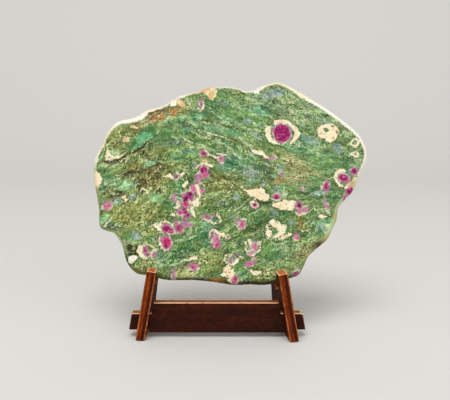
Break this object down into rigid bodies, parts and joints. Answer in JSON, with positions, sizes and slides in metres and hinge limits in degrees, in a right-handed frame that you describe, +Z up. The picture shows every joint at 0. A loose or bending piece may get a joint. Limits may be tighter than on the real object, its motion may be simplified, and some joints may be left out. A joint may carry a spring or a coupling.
{
  "type": "ruby in zoisite slice",
  "caption": "Polished slab of green ruby-bearing zoisite, leaning back on a small wooden display stand that holds its lower edge behind its front posts.",
  "frame": {"origin": "on the floor, under the middle of the whole piece's box", "axes": "+X to the right along the slab, +Y to the back, the way the slab leans, +Z up"},
  "size_m": [0.205, 0.0752, 0.1829],
  "materials": {
    "ruby_zoisite": "polished face, matt weathered rim",
    "frame_wood": "stained and lacquered, orange-brown",
    "board_wood": "stained and lacquered, dark reddish brown"
  },
  "bodies": {
    "root": {"slab": "ruby_zoisite", "side_frame_left": "frame_wood", "side_frame_right": "frame_wood", "cross_board": "board_wood"}
  },
  "joints": []
}
